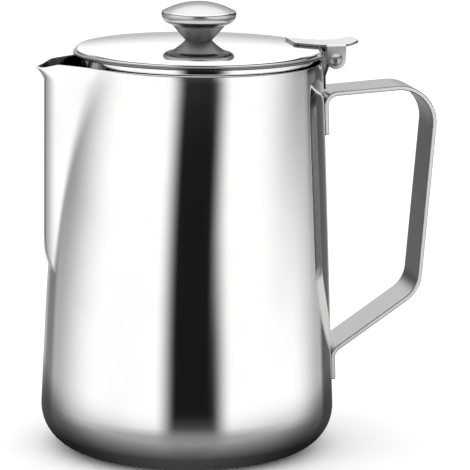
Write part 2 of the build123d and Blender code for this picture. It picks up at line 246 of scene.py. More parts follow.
@dataclass(frozen=True)
class SteelFinish:
    """Stainless steel with fine polishing lines, smudges, faint wear and, where asked, painted shade along X.

    Attributes:
        name: Name of the material.
        colour: Base colour, linear.
        sheen_low: Roughness where the polish is best.
        sheen_high: Roughness in the lines and smudges.
        grain: Way that the lines run.
        lines: Lines in a metre across the grain.
        drift: Changes in a metre along the grain.
        relief: Strength of the bump from the lines.
        axis_x: Place of the turning axis along X, for turned rings.
        smudge_scale: Smudges in a metre.
        smudge_depth: Share of the colour that a smudge takes away.
        edge_tint: Share of the reflection that is left at a grazing angle.
        painted_shade_share: Share of the colour that is left where painted_shade_span starts, as painted
            shade.
        painted_shade_span: Places along X between which the painted shade fades and the colour comes back to
            full.
        line_noise: Detail and roughness of the noise behind the lines.
        smudge_noise: Detail and roughness of the noise behind the smudges.
        wear_span: Product of the two noises at the lower and the higher roughness.
        smudge_span: Noise where a smudge starts and where it is full.
        relief_depth: Depth of the bump at full strength.
    """

    name: str
    colour: Colour
    sheen_low: float
    sheen_high: float
    grain: Grain
    lines: float = 2600.0
    drift: float = 18.0
    relief: float = 0.02
    axis_x: float = MOUTH_CENTRE
    smudge_scale: float = 34.0
    smudge_depth: float = 0.06
    edge_tint: float = 1.0
    painted_shade_share: float = 1.0
    painted_shade_span: Plan = (0.0, 1.0)
    line_noise: Plan = (4.0, 0.6)
    smudge_noise: Plan = (5.0, 0.55)
    wear_span: Plan = (0.1, 0.45)
    smudge_span: Plan = (0.35, 0.75)
    relief_depth: float = 0.0001

    def material(self) -> bpy.types.Material:
        """Builds the finish as a node material.

        Returns:
            The material, with its lines on Object coordinates or on the strap's own run.
        """
        made = bpy.data.materials.new(self.name)
        made.use_nodes = True
        board = NodeBoard(made.node_tree)
        lines = self._noise(board, self._grain_vector(board), scale=1.0, form=self.line_noise)
        smudge = self._noise(board, board.place(), self.smudge_scale, self.smudge_noise)
        wear = board.math("MULTIPLY", lines, smudge)
        relief = {"Strength": self.relief, "Distance": self.relief_depth, "Height": lines}
        steel = {
            "Metallic": 1.0,
            "Specular Tint": grey(self.edge_tint),
            "Roughness": board.mapped(wear, self.wear_span, (self.sheen_low, self.sheen_high)),
            "Base Color": self._tint(board, smudge),
            "Normal": board.add("ShaderNodeBump", relief).outputs["Normal"],
        }
        board.feed(made.node_tree.nodes["Principled BSDF"], steel)
        return made

    @staticmethod
    def _noise(board: NodeBoard, vector: Socket, scale: float, form: Plan) -> Socket:
        """Noise with a scale and a form of (detail, roughness)."""
        inputs = {"Vector": vector, "Scale": scale, "Detail": form[0], "Roughness": form[1]}
        return board.add("ShaderNodeTexNoise", inputs).outputs["Fac"]

    def _tint(self, board: NodeBoard, smudge: Socket) -> Socket:
        """Colour, a little darker in the smudges, and darkened along X by painted shade where the finish asks
        for it.

        Args:
            board: Nodes of the material.
            smudge: Noise behind the smudges.

        Returns:
            The base colour.
        """
        dull = tuple(channel * (1.0 - self.smudge_depth) for channel in self.colour)
        tint = board.ramp(smudge, list(zip(self.smudge_span, (self.colour, dull))))
        if self.painted_shade_share == 1.0:
            return tint
        # Painted shade: the colour darkens towards the low end of the span along X
        along = board.split(board.place())["X"]
        left = board.mapped(along, self.painted_shade_span, (self.painted_shade_share, 1.0), Way.SMOOTH)
        return board.vector("SCALE", "Vector", {0: tint, "Scale": left})

    def _grain_vector(self, board: NodeBoard) -> Socket:
        """Coordinates that stretch the noise into lines along the grain.

        Args:
            board: Nodes of the material.

        Returns:
            The coordinates.
        """
        place = board.place()
        if self.grain in (Grain.LEVEL, Grain.PLAIN):
            level = self.drift if self.grain is Grain.LEVEL else self.lines
            stretch = {"Vector": place, "Scale": (level, level, self.lines)}
            return board.add("ShaderNodeMapping", stretch).outputs["Vector"]
        if self.grain is Grain.ALONG:
            across = board.split(place)["Y"]
            along = board.add("ShaderNodeAttribute", {}, attribute_name=Strip.RUN).outputs["Fac"]
        else:
            centred = board.add("ShaderNodeMapping", {"Vector": place, "Location": (-self.axis_x, 0.0, 0.0)})
            parts = board.split(centred.outputs["Vector"])
            radius = board.vector("LENGTH", "Value", {0: board.join(parts["X"], parts["Y"])})
            across = board.math("ADD", radius, parts["Z"])
            along = parts["Y"]
        across = board.math("MULTIPLY", across, self.lines)
        return board.join(across, board.math("MULTIPLY", along, self.drift))


@dataclass(frozen=True)
class WallForm:
    """Outer face of the wall: a cone whose circle moves towards the handle as it nears the mouth."""

    height: float = RIM_HEIGHT
    foot_radius: float = 0.0659
    mouth_radius: float = 0.0547
    mouth_offset: float = MOUTH_CENTRE
    neck_start: float = 0.060

    def lean(self) -> float:
        """Run of the wall inwards for each metre of rise, on the handle side."""
        return (self.foot_radius - self.mouth_radius - self.mouth_offset) / self.height

    def reach(self, z: float) -> float:
        """Distance of the wall from the jug's axis on the handle side."""
        return self.foot_radius - self.lean() * z

    def shift(self, z: float) -> float:
        """Offset of the wall's circle towards the handle."""
        rise = max(z - self.neck_start, 0.0) / (self.height - self.neck_start)
        return self.mouth_offset * rise * rise

    def radius(self, z: float) -> float:
        """Radius of the wall's circle."""
        return self.reach(z) - self.shift(z)

    def seat(self, bm: bmesh.types.BMesh, gap: float) -> None:
        """Pushes every point of a mesh that lies in the wall out to a gap from its face.

        Args:
            bm: Mesh to fit to the wall.
            gap: Distance that is left between the mesh and the wall.
        """
        for vert in bm.verts:
            centre = self.shift(vert.co.z)
            least = self.radius(vert.co.z) + gap
            level = Vector((vert.co.x - centre, vert.co.y))
            if level.length < least:
                level *= least / level.length
                vert.co.x = centre + level.x
                vert.co.y = level.y


@dataclass(frozen=True)
class SpoutForm:
    """Spout pressed out of the wall: an upright V with a round nose, a toe below and a flared lip."""

    wall: WallForm = WallForm()
    reach: float = 0.0645
    half_angle: float = math.radians(44.5)
    nose_radius: float = 0.016
    toe_height: float = 0.095
    toe_radius: float = 0.030
    toe_end: float = 0.083
    lip_height: float = 0.008
    lip_flare: float = 0.0008
    lip_radius: float = 0.0023
    lip_power: float = 1.5
    lip_reach: float = 0.0680
    lip_droop: float = 0.0027
    lip_droop_run: float = 0.0075
    softness: float = 0.0005
    crease_toe: float = 0.0006
    crease_top: float = 0.0026

    def section(self, z: float) -> tuple[float, float]:
        """Place of the V's sharp corner and radius of its nose at a height.

        Args:
            z: Height of the section.

        Returns:
            Place of the corner along X, and the nose's radius, which shrinks in the lip.
        """
        share = max(z - self.wall.height + self.lip_height, 0.0) / self.lip_height
        apex = self.nose_radius - self.reach - self.nose_radius / math.sin(self.half_angle)
        radius = self.nose_radius + (self.lip_radius - self.nose_radius) * share ** self.lip_power
        return apex - self.lip_flare * share * share, radius

    def crease(self, z: float) -> float:
        """Angle where the V leaves the wall.

        Args:
            z: Height of the section.

        Returns:
            Angle from the spout's middle, about the wall's centre.
        """
        z = max(z, self.toe_end)
        apex, _ = self.section(z)
        centre = self.wall.shift(z)
        slope = math.tan(self.half_angle) ** 2
        middle = centre + slope * apex
        level = centre ** 2 + slope * apex ** 2 - self.wall.radius(z) ** 2
        root = math.sqrt(max(middle ** 2 - (1.0 + slope) * level, 0.0))
        x = (middle - root) / (1.0 + slope)
        return math.atan2((x - apex) * math.tan(self.half_angle), centre - x)

    def extent(self, z: float, angle: float) -> float:
        """Distance from the wall's centre to the spout's face.

        Args:
            z: Height of the ray.
            angle: Angle of the ray from the spout's middle.

        Returns:
            Length of the ray, or 0 where it misses the spout.
        """
        if angle > math.pi / 2:
            return 0.0
        centre = self.wall.shift(z)
        half = self.half_angle
        apex, radius = self.section(z)
        near = (centre - apex) * math.sin(half)
        past = angle + half - math.pi / 2
        length = near / math.cos(past) if past < 0.0 else near * (2.0 - 1.0 / math.cos(past))
        if length * math.sin(angle) < radius * math.cos(half):
            run = centre - apex - radius / math.sin(half)
            length = run * math.cos(angle) + math.sqrt(radius ** 2 - (run * math.sin(angle)) ** 2)
        drop = self.toe_height - z
        if drop <= 0.0:
            return length
        if drop >= self.toe_radius:
            return 0.0
        toe = self.reach - self.toe_radius + math.sqrt(self.toe_radius ** 2 - drop ** 2)
        return soft_min(length, (toe + centre) / math.cos(angle), self.softness)

    def crease_width(self, z: float) -> float:
        """Width of the round between spout and wall, which grows from the toe to the rim."""
        share = min(max((z - self.toe_end) / (self.wall.height - self.toe_end), 0.0), 1.0)
        return self.crease_toe + (self.crease_top - self.crease_toe) * share

    def rim(self, x: float) -> float:
        """Height of the rim at a place along X, which droops at the tip of the lip."""
        beyond = soft_ramp(-x - self.lip_reach + self.lip_droop_run, self.softness)
        return self.wall.height - beyond * self.lip_droop / self.lip_droop_run


class Lathe:
    """Draws a profile in the plane of symmetry with a pen and turns it about an upright axis."""

    def __init__(self, radius: float, height: float) -> None:
        """Sets the pen down at a radius and a height."""
        self.bm = bmesh.new()
        self.tip = self.bm.verts.new((radius, 0.0, height))

    def line(self, radius: float, height: float, spans: int = 1) -> None:
        """Draws a straight line.

        Args:
            radius: Radius of its end.
            height: Height of its end.
            spans: Equal spans in it.
        """
        start = self.tip.co.copy()
        end = Vector((radius, 0.0, height))
        for span in range(1, spans + 1):
            self.tip = bmesh.ops.extrude_vert_indiv(self.bm, verts=[self.tip])["verts"][0]
            self.tip.co = start.lerp(end, span / spans)

    def arc(self, centre: Plan, angle: float, steps: int) -> None:
        """Draws an arc about a centre.

        Args:
            centre: Centre (r, z) of the arc.
            angle: Angle of the arc, counter-clockwise when positive.
            steps: Steps in it.
        """
        pivot = (centre[0], 0.0, centre[1])
        made = bmesh.ops.spin(
            self.bm, geom=[self.tip], cent=pivot, axis=(0.0, -1.0, 0.0), angle=angle, steps=steps
        )
        self.tip = next(item for item in made["geom_last"] if isinstance(item, bmesh.types.BMVert))

    def arc_to(self, radius: float, height: float, bow: float, steps: int) -> None:
        """Draws an arc to a point.

        Args:
            radius: Radius of its end.
            height: Height of its end.
            bow: Bow from the chord, to the left of it when positive.
            steps: Steps in it.
        """
        start = Vector((self.tip.co.x, self.tip.co.z))
        chord = Vector((radius, height)) - start
        half = chord.length / 2
        curve = (half ** 2 + bow ** 2) / (2 * bow)
        left = Vector((-chord.y, chord.x)) / chord.length
        centre = start + chord / 2 + left * (bow - curve)
        sweep = 2 * math.atan2(half, curve - bow) if bow > 0 else -2 * math.atan2(half, bow - curve)
        self.arc((centre.x, centre.y), -sweep, steps)

    def turn(self, steps: int, axis_x: float = 0.0) -> bmesh.types.BMesh:
        """Turns the profile into a skin.

        Args:
            steps: Number of steps in the full turn.
            axis_x: Place of the axis along X, which the result is moved to.

        Returns:
            The mesh, merged at its seam and poles, with its faces outwards.
        """
        profile = self.bm.verts[:] + self.bm.edges[:]
        bmesh.ops.spin(
            self.bm, geom=profile, cent=(0, 0, 0), axis=(0, 0, 1), angle=math.tau, steps=steps, use_merge=True
        )
        bmesh.ops.remove_doubles(self.bm, verts=self.bm.verts[:], dist=MERGE_DISTANCE)
        bmesh.ops.recalc_face_normals(self.bm, faces=self.bm.faces[:])
        bmesh.ops.translate(self.bm, vec=(axis_x, 0.0, 0.0), verts=self.bm.verts[:])
        return self.bm


class Strip:
    """Flat strip of sheet that is bent along a path in the plane of symmetry."""

    RUN = "run"

    def __init__(self, start: Plan, width: float, columns: int) -> None:
        """Lays the strip's first edge across the plane of symmetry.

        Args:
            start: Place (x, z) of the edge.
            width: Width of the strip.
            columns: Columns of faces across it.
        """
        self.bm = bmesh.new()
        self.layer = self.bm.verts.layers.float.new(self.RUN)
        self.length = 0.0
        self.tip = Vector(start)
        last = self.bm.verts.new((start[0], -width / 2, start[1]))
        for _ in range(columns):
            last = bmesh.ops.extrude_vert_indiv(self.bm, verts=[last])["verts"][0]
            last.co.y += width / columns
        self.row = self.bm.edges[:]

    def _advance(self, matrix: Matrix, length: float) -> None:
        """Draws the last row on by one step.

        Args:
            matrix: Move of the row.
            length: Length that the step adds to the strip's run.
        """
        made = bmesh.ops.extrude_edge_only(self.bm, edges=self.row)["geom"]
        verts = [item for item in made if isinstance(item, bmesh.types.BMVert)]
        fresh = set(verts)
        bmesh.ops.transform(self.bm, matrix=matrix, verts=verts)
        self.length += length
        for vert in verts:
            vert[self.layer] = self.length
        edges = [item for item in made if isinstance(item, bmesh.types.BMEdge)]
        self.row = [edge for edge in edges if fresh.issuperset(edge.verts)]

    def straight(self, end: Plan, spans: int) -> None:
        """Draws the strip straight on.

        Args:
            end: Place (x, z) that it goes to.
            spans: Equal spans on the way.
        """
        step = (Vector(end) - self.tip) / spans
        for _ in range(spans):
            self._advance(Matrix.Translation((step.x, 0.0, step.y)), step.length)
        self.tip = Vector(end)

    def bend(self, centre: Plan, angle: float, steps: int) -> None:
        """Draws the strip round a centre.

        Args:
            centre: Centre (x, z) of the bend.
            angle: Angle of the bend, counter-clockwise when positive.
            steps: Steps in it.
        """
        pivot = Vector((centre[0], 0.0, centre[1]))
        turn = Matrix.Rotation(-angle / steps, 4, "Y")
        step = Matrix.Translation(pivot) @ turn @ Matrix.Translation(-pivot)
        arm = self.tip - Vector(centre)
        for _ in range(steps):
            self._advance(step, abs(angle / steps) * arm.length)
        self.tip = Vector(centre) + Matrix.Rotation(angle, 2) @ arm

    def follow(self, points: Sequence[Plan], radii: Sequence[float], spans: int, steps: int) -> None:
        """Draws the strip through points with a round bend at each inner one.

        Args:
            points: Corners and end of the path, after its start.
            radii: Radius of each bend, one for each point but the last.
            spans: Spans in each straight run.
            steps: Steps in each bend.
        """
        for corner, after, radius in zip(points, points[1:], radii):
            inward = (Vector(corner) - self.tip).normalized()
            outward = (Vector(after) - Vector(corner)).normalized()
            turn = math.atan2(inward.cross(outward), inward.dot(outward))
            self.straight(Vector(corner) - inward * radius * math.tan(abs(turn) / 2), spans)
            side = Vector((-inward.y, inward.x)) * math.copysign(radius, turn)
            self.bend(self.tip + side, turn, steps)
        self.straight(points[-1], spans)


@dataclass
class Workshop:
    """Makes finished pieces out of meshes and hands them to the frame."""

    finishes: dict[str, bpy.types.Material] = field(default_factory=dict)

    def finish(self, look: SteelFinish) -> bpy.types.Material:
        """Material of a finish.

        Args:
            look: The finish.

        Returns:
            Its material, made once.
        """
        if look.name not in self.finishes:
            self.finishes[look.name] = look.material()
        return self.finishes[look.name]

    def piece(
        self,
        name: str,
        bm: bmesh.types.BMesh,
        looks: Sequence[SteelFinish],
        body: Body,
        slot: Slot,
        nodes: Sequence[str],
        modify: Callable[[bpy.types.Object], None] | None = None,
        after: Callable[[bmesh.types.BMesh], None] | None = None,
    ) -> None:
        """Turns a mesh into a finished piece that rides on a body.

        Args:
            name: Name of the piece.
            bm: Mesh of the piece, in place; it is freed here.
            looks: Finishes of the piece's material slots.
            body: Body that the piece moves with.
            slot: Material slot of the record; not used.
            nodes: Nodes that the piece stands for.
            modify: Adds modifiers, which are then applied.
            after: Shapes the mesh once the modifiers are applied.
        """
        mesh = bpy.data.meshes.new(name)
        bm.to_mesh(mesh)
        bm.free()
        for look in looks:
            mesh.materials.append(self.finish(look))
        made = bpy.data.objects.new(name, mesh)
        bpy.context.scene.collection.objects.link(made)
        if modify:
            modify(made)
            self._apply(made)
        if after:
            shaped = bmesh.new()
            shaped.from_mesh(made.data)
            after(shaped)
            shaped.to_mesh(made.data)
            shaped.free()
        made.data.polygons.foreach_set("use_smooth", [True] * len(made.data.polygons))
        made.data.set_sharp_from_angle(angle=SHARP_ANGLE)
        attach(made, body.value)
        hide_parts(*nodes)
        LOG.info("%s: %d faces on %s", name, len(made.data.polygons), body.value)

    @staticmethod
    def _apply(made: bpy.types.Object) -> None:
        """Puts the result of an object's modifiers into its mesh and clears them."""
        graph = bpy.context.evaluated_depsgraph_get()
        mesh = bpy.data.meshes.new_from_object(
            made.evaluated_get(graph), preserve_all_data_layers=True, depsgraph=graph
        )
        made.modifiers.clear()
        made.data = mesh

    @staticmethod
    def paint(bm: bmesh.types.BMesh, slot: int, wanted: Callable[[bmesh.types.BMFace], bool]) -> None:
        """Gives some faces of a mesh another finish.

        Args:
            bm: Mesh to paint.
            slot: Number of the finish among those of the piece.
            wanted: Test of the faces that get it.
        """
        for face in bm.faces:
            if wanted(face):
                face.material_index = slot

    @staticmethod
    def thicken(
        made: bpy.types.Object, sheet: float, side: Side, inner_slot: int = 0, edge_slot: int = 0
    ) -> None:
        """Gives a skin the thickness of its sheet.

        Args:
            made: Object to thicken.
            sheet: Thickness of the sheet.
            side: Side of the skin that the thickness goes to.
            inner_slot: Steps from a face's material slot to that of its inner side.
            edge_slot: Steps from a face's material slot to that of the cut edge.
        """
        solidify = made.modifiers.new("sheet", "SOLIDIFY")
        solidify.thickness = sheet
        solidify.offset = side.value
        solidify.use_even_offset = True
        solidify.material_offset = inner_slot
        solidify.material_offset_rim = edge_slot

    @staticmethod
    def soften(made: bpy.types.Object, width: float, segments: int, slot: int = -1) -> None:
        """Rounds the sharp edges of a piece.

        Args:
            made: Object to round.
            width: Width of the round.
            segments: Segments across it.
            slot: Its material slot, or -1 for that of the faces beside it.
        """
        bevel = made.modifiers.new("edges", "BEVEL")
        bevel.width = width
        bevel.segments = segments
        bevel.material = slot
        bevel.profile = 0.5
        bevel.limit_method = "ANGLE"
        bevel.angle_limit = BEVEL_ANGLE


STEEL = (0.80, 0.80, 0.793)
KNOB_STEEL = (0.60, 0.60, 0.595)
SATIN = (0.47, 0.47, 0.465)
INSIDE = (0.56, 0.56, 0.555)
COARSE = 900.0
POLISHED_SHELL = SteelFinish("polished_shell_steel", STEEL, 0.035, 0.075, Grain.LEVEL)
POLISHED_LID = SteelFinish("polished_lid_steel", STEEL, 0.03, 0.07, Grain.TURNED)
POLISHED_KNOB = SteelFinish("polished_knob_steel", KNOB_STEEL, 0.03, 0.07, Grain.TURNED, edge_tint=0.40)
# Inside steel; its colour darkens towards the spout's channel as painted shade
SATIN_INSIDE = SteelFinish(
    "satin_inside_steel", INSIDE, 0.06, 0.13, Grain.LEVEL,
    relief=0.05, painted_shade_share=0.40, painted_shade_span=(-0.052, -0.036),
)
SATIN_STRAP = SteelFinish("satin_strap_steel", SATIN, 0.16, 0.30, Grain.ALONG, relief=0.10, edge_tint=0.68)
HINGE_STEEL = SteelFinish("hinge_pressed_steel", (0.57, 0.57, 0.565), 0.30, 0.42, Grain.ALONG, relief=0.06)
# Near-white steel on the strap's cut edges: a painted highlight
STRAP_EDGE_HIGHLIGHT = SteelFinish("strap_edge_painted_highlight", (0.96, 0.96, 0.952), 0.60, 0.70, Grain.PLAIN, COARSE)
# Dark steel on the strap's rounded edges: painted shade
STRAP_CORNER_SHADE = SteelFinish("strap_corner_painted_shade", (0.20, 0.20, 0.198), 0.20, 0.30, Grain.PLAIN, COARSE)
# Dark steel on the hinge's cut edges: painted shade
CUT_EDGE_SHADE = SteelFinish("hinge_cut_edge_painted_shade", (0.22, 0.22, 0.217), 0.16, 0.26, Grain.PLAIN, COARSE)
# Near-black steel on the lid's hem: painted shade, not a darker metal
HEM_SHADE_STEEL = SteelFinish("lid_hem_painted_shade", (0.17, 0.17, 0.168), 0.10, 0.18, Grain.TURNED)
# Darker, rougher steel with dark grazing edges on the knob's stem: painted shade under the rim
STEM_SHADE_STEEL = SteelFinish("knob_stem_painted_shade", (0.36, 0.36, 0.357), 0.44, 0.54, Grain.TURNED, edge_tint=0.12)
KNOB_RIM = SteelFinish("knob_rim_steel", (0.58, 0.58, 0.575), 0.28, 0.36, Grain.TURNED)
# Near-black steel on the knob's downward faces: painted shade under the rim
KNOB_UNDERSIDE_SHADE = SteelFinish("knob_underside_painted_shade", (0.09, 0.09, 0.089), 0.12, 0.22, Grain.TURNED)
RIVET_STEEL = SteelFinish("rivet_steel", (0.38, 0.38, 0.376), 0.24, 0.34, Grain.PLAIN, COARSE, relief=0.05)
FIXING_STEEL = SteelFinish("fixing_steel_plain", (0.66, 0.66, 0.65), 0.22, 0.36, Grain.PLAIN, COARSE)


@dataclass
class Assembly:
    """Sub-assembly of the jug, which a workshop finishes."""

    shop: Workshop


@dataclass
class JugBody(Assembly):
    """Drawn shell of the jug with its pressed spout."""

    wall: WallForm = WallForm()
    spout: SpoutForm = SpoutForm()
    sheet: float = 0.0009
    corner_radius: float = 0.0185
    steps: int = 320
    spout_columns: float = math.radians(40.0)
    column_digits: int = 5
    toe_below: float = 0.008
    toe_above: float = 0.004
    rim_round: float = 0.0002
    rim_curl: float = 0.00008
    rim_curl_height: float = 0.003
    rim_passes: int = 9

    def build(self) -> None:
        """Builds the shell and dresses it: polished outside, satin inside."""
        bm = self._turned()
        rims: dict[float, float] = {}
        for vert in bm.verts:
            vert.co = self._pressed(vert.co, rims)
        looks = (POLISHED_SHELL, SATIN_INSIDE)
        self.shop.piece("jug_shell", bm, looks, Body.JUG, Slot.SHELL, ("jug_body",), modify=self._thickness)

    def _thickness(self, made: bpy.types.Object) -> None:
        """Adds the wall's thickness and rounds the cut rim."""
        Workshop.thicken(made, self.sheet, Side.INNER, inner_slot=SECOND_LOOK)
        Workshop.soften(made, self.rim_round, segments=2)

    def _turned(self) -> bmesh.types.BMesh:
        """Outer face before the press.

        Returns:
            A flat base, a round corner and a cone, with more rings where the press bends it.
        """
        wall = self.wall
        slope = math.hypot(1.0, wall.lean())
        corner_x = wall.reach(self.corner_radius) - self.corner_radius * slope
        pen = Lathe(0.0, 0.0)
        pen.line(corner_x, 0.0, spans=5)
        pen.arc((corner_x, self.corner_radius), math.pi / 2 + math.atan(wall.lean()), steps=18)
        toe_low = self.spout.toe_end - self.toe_below
        toe_high = self.spout.toe_height + self.toe_above
        lip_low = wall.height - self.spout.lip_height
        for height, spans in ((toe_low, 20), (toe_high, 26), (lip_low, 24), (wall.height, 12)):
            pen.line(wall.reach(height), height, spans)
        return pen.turn(self.steps)

    def _pressed(self, place: Vector, rims: dict[float, float]) -> Vector:
        """Place of a turned point after the neck is drawn towards the handle and the spout pressed out.

        Args:
            place: Point of the turned face.
            rims: Height of the rim on each column, filled here as it is found.

        Returns:
            Point of the pressed face.
        """
        turn = math.atan2(place.y, -place.x)
        radius = math.hypot(place.x, place.y)
        if place.z <= self.wall.neck_start:
            angle = self._column(turn, place.z)
            return Vector((-radius * math.cos(angle), radius * math.sin(angle), place.z))
        lip_low = self.wall.height - self.spout.lip_height
        if place.z <= lip_low:
            return self._face(turn, place.z)
        column = round(turn, self.column_digits)
        if column not in rims:
            rims[column] = self.wall.height
            for _ in range(self.rim_passes):
                rims[column] = self.spout.rim(self._face(turn, rims[column]).x)
        share = (place.z - lip_low) / self.spout.lip_height
        return self._face(turn, lip_low + (rims[column] - lip_low) * share)

    def _column(self, turn: float, z: float) -> float:
        """Angle of a column of the mesh, drawn so that one column runs along each crease.

        Args:
            turn: Angle of the column as it was turned, from the spout's middle.
            z: Height on the column.

        Returns:
            Angle of the column on the pressed face.
        """
        crease = self.spout.crease(z)
        spread = abs(turn)
        if spread <= self.spout_columns:
            angle = crease * spread / self.spout_columns
        else:
            rest = (spread - self.spout_columns) / (math.pi - self.spout_columns)
            angle = crease + (math.pi - crease) * rest
        return math.copysign(angle, turn)

    def _face(self, turn: float, z: float) -> Vector:
        """Point of the pressed face.

        Args:
            turn: Angle of its column as it was turned, from the spout's middle.
            z: Height of the point.

        Returns:
            The point.
        """
        angle = self._column(turn, z)
        bulge = self.spout.extent(z, abs(angle))
        reach = soft_max(self.wall.radius(z), bulge, self.spout.crease_width(z))
        reach -= self.rim_curl * max(1.0 - (self.wall.height - z) / self.rim_curl_height, 0.0) ** 2
        return Vector((self.wall.shift(z) - reach * math.cos(angle), reach * math.sin(angle), z))


@dataclass
class StrapHandle(Assembly):
    """Handle bent from one flat strap, with a flange at each end on the wall."""

    wall: WallForm = WallForm()
    width: float = 0.024
    thickness: float = 0.002
    edge_radius: float = 0.0004
    drop: float = 0.0121
    slope: float = math.tan(math.radians(4.3))
    grip_standoff: float = 0.0452
    lower_slope: float = math.tan(math.radians(34.8))
    lower_height: float = 0.042
    flange_top: float = 0.018
    flange_bottom: float = 0.0126
    wall_bend: float = 0.0055
    top_bend: float = 0.016
    low_bend: float = 0.0145
    seat_gap: float = 0.00003

    def path(self) -> list[Plan]:
        """Path of the strap's middle line.

        Returns:
            Its corners (x, z), from the upper flange to the lower one.
        """
        wall = self.wall
        middle = wall.height - self.drop - self.thickness / 2
        inset = self.thickness / 2 - self.width ** 2 / (8 * wall.mouth_radius)
        top_x = wall.reach(middle) + inset
        grip_x = wall.reach(middle) + self.grip_standoff + self.thickness / 2
        low_x = wall.reach(self.lower_height) + inset
        top_z = middle - self.slope * (grip_x - top_x) / 2
        outer_x = grip_x + self.slope * (middle - self.lower_height) / 2
        outer_z = top_z + self.slope * (outer_x - top_x)
        run = outer_z - self.lower_height - self.lower_slope * (outer_x - low_x)
        run /= 1.0 - self.lower_slope * self.slope
        top_end = top_z - self.flange_top
        low_end = self.lower_height - self.flange_bottom
        return [
            (wall.reach(top_end) + inset, top_end),
            (top_x, top_z),
            (outer_x, outer_z),
            (outer_x - self.slope * run, outer_z - run),
            (low_x, self.lower_height),
            (wall.reach(low_end) + inset, low_end),
        ]

    def build(self) -> None:
        """Bends the strap, rounds its edges and seats its flanges on the wall."""
        points = self.path()
        bends = (self.wall_bend, self.top_bend, self.low_bend, self.wall_bend)
        strip = Strip(points[0], self.width, columns=16)
        strip.follow(points[1:], bends, spans=14, steps=14)
        bmesh.ops.recalc_face_normals(strip.bm, faces=strip.bm.faces[:])
        looks = (SATIN_STRAP, STRAP_EDGE_HIGHLIGHT, STRAP_CORNER_SHADE)
        self.shop.piece(
            "strap_handle", strip.bm, looks, Body.JUG, Slot.STRAP, ("handle",),
            modify=self._thickness, after=lambda bm: self.wall.seat(bm, self.seat_gap),
        )

    def _thickness(self, made: bpy.types.Object) -> None:
        """Adds the strap's thickness and rounds its edges."""
        # The cut edges get the near-white steel, a painted highlight
        Workshop.thicken(made, self.thickness, Side.BOTH, edge_slot=SECOND_LOOK)
        # The rounds get the dark steel, a painted shade
        Workshop.soften(made, self.edge_radius, segments=3, slot=THIRD_LOOK)


@dataclass(frozen=True)
class LidForm:
    """Sizes of the lid that the strap and the knob are set on."""

    axis_x: float = MOUTH_CENTRE
    rim_height: float = RIM_HEIGHT
    radius: float = 0.05505
    sheet: float = 0.0008
    lift: float = 0.0023
    hem: float = 0.0017
    dome: float = 0.0046
    seat_radius: float = 0.0065
    crown_radius: float = 0.400
    crown_reach: float = 0.0523
    plug_radius: float = 0.0516
    plug_depth: float = 0.0065

    def hem_bottom(self) -> float:
        """Height of the underside of the folded hem."""
        return self.rim_height + self.lift

    def hem_top(self) -> float:
        """Height where the dome meets the hem."""
        return self.hem_bottom() + self.hem

    def apex(self) -> float:
        """Height of the flat that the knob stands on."""
        return self.hem_top() + self.dome

    def crown_lean(self) -> float:
        """Slope angle of the dome at the end of its crown."""
        return math.asin((self.crown_reach - self.seat_radius) / self.crown_radius)

    def shoulder(self) -> tuple[float, float, float]:
        """Arc between the crown and the hem.

        Returns:
            Radius of the arc and its centre (r, z).
        """
        lean = self.crown_lean()
        crown_end = self.apex() - self.crown_radius * (1.0 - math.cos(lean))
        run = self.radius - self.hem / 2 - self.crown_reach
        drop = self.hem_top() - crown_end
        curve = -(run ** 2 + drop ** 2) / (2 * (run * math.sin(lean) + drop * math.cos(lean)))
        return curve, self.crown_reach - curve * math.sin(lean), crown_end - curve * math.cos(lean)

    def crown(self, r: float) -> float:
        """Height of the upper face at a radius within the crown."""
        along = max(r - self.seat_radius, 0.0)
        return self.apex() - self.crown_radius + math.sqrt(self.crown_radius ** 2 - along ** 2)


@dataclass
class Lid(Assembly):
    """Domed lid with a folded hem and a plug skirt."""

    form: LidForm = LidForm()
    hole_radius: float = 0.0022
    steps: int = 256

    def build(self) -> None:
        """Turns the lid and dresses it."""
        form = self.form
        curve, centre_r, centre_z = form.shoulder()
        lean = form.crown_lean()
        hem_r = form.radius - form.hem / 2
        sweep = math.asin((hem_r - centre_r) / curve) - lean
        plug_inside = form.plug_radius - form.sheet
        plug_low = form.hem_bottom() - form.plug_depth
        crown = (form.seat_radius, form.apex() - form.crown_radius)
        inner = form.crown_radius - form.sheet
        inner_lean = math.asin((plug_inside - form.seat_radius) / inner)
        pen = Lathe(self.hole_radius, form.apex())
        pen.line(form.seat_radius, form.apex(), spans=3)
        pen.arc(crown, -lean, steps=30)
        pen.arc((centre_r, centre_z), -sweep, steps=14)
        pen.arc((hem_r, form.hem_bottom() + form.hem / 2), -math.pi, steps=12)
        pen.line(form.plug_radius, form.hem_bottom(), spans=3)
        pen.line(form.plug_radius, plug_low, spans=5)
        pen.line(plug_inside, plug_low)
        pen.line(plug_inside, crown[1] + inner * math.cos(inner_lean), spans=6)
        pen.arc(crown, inner_lean, steps=20)
        pen.line(self.hole_radius, form.apex() - form.sheet, spans=3)
        pen.line(self.hole_radius, form.apex())
        bm = pen.turn(self.steps, form.axis_x)
        axis = Vector((form.axis_x, 0.0))
        # The hem gets the near-black steel, a painted shade
        Workshop.paint(bm, SECOND_LOOK, lambda face: (face.calc_center_median().xy - axis).length > hem_r)
        self.shop.piece("lid_dome", bm, (POLISHED_LID, HEM_SHADE_STEEL), Body.LID, Slot.LID, ("lid",))


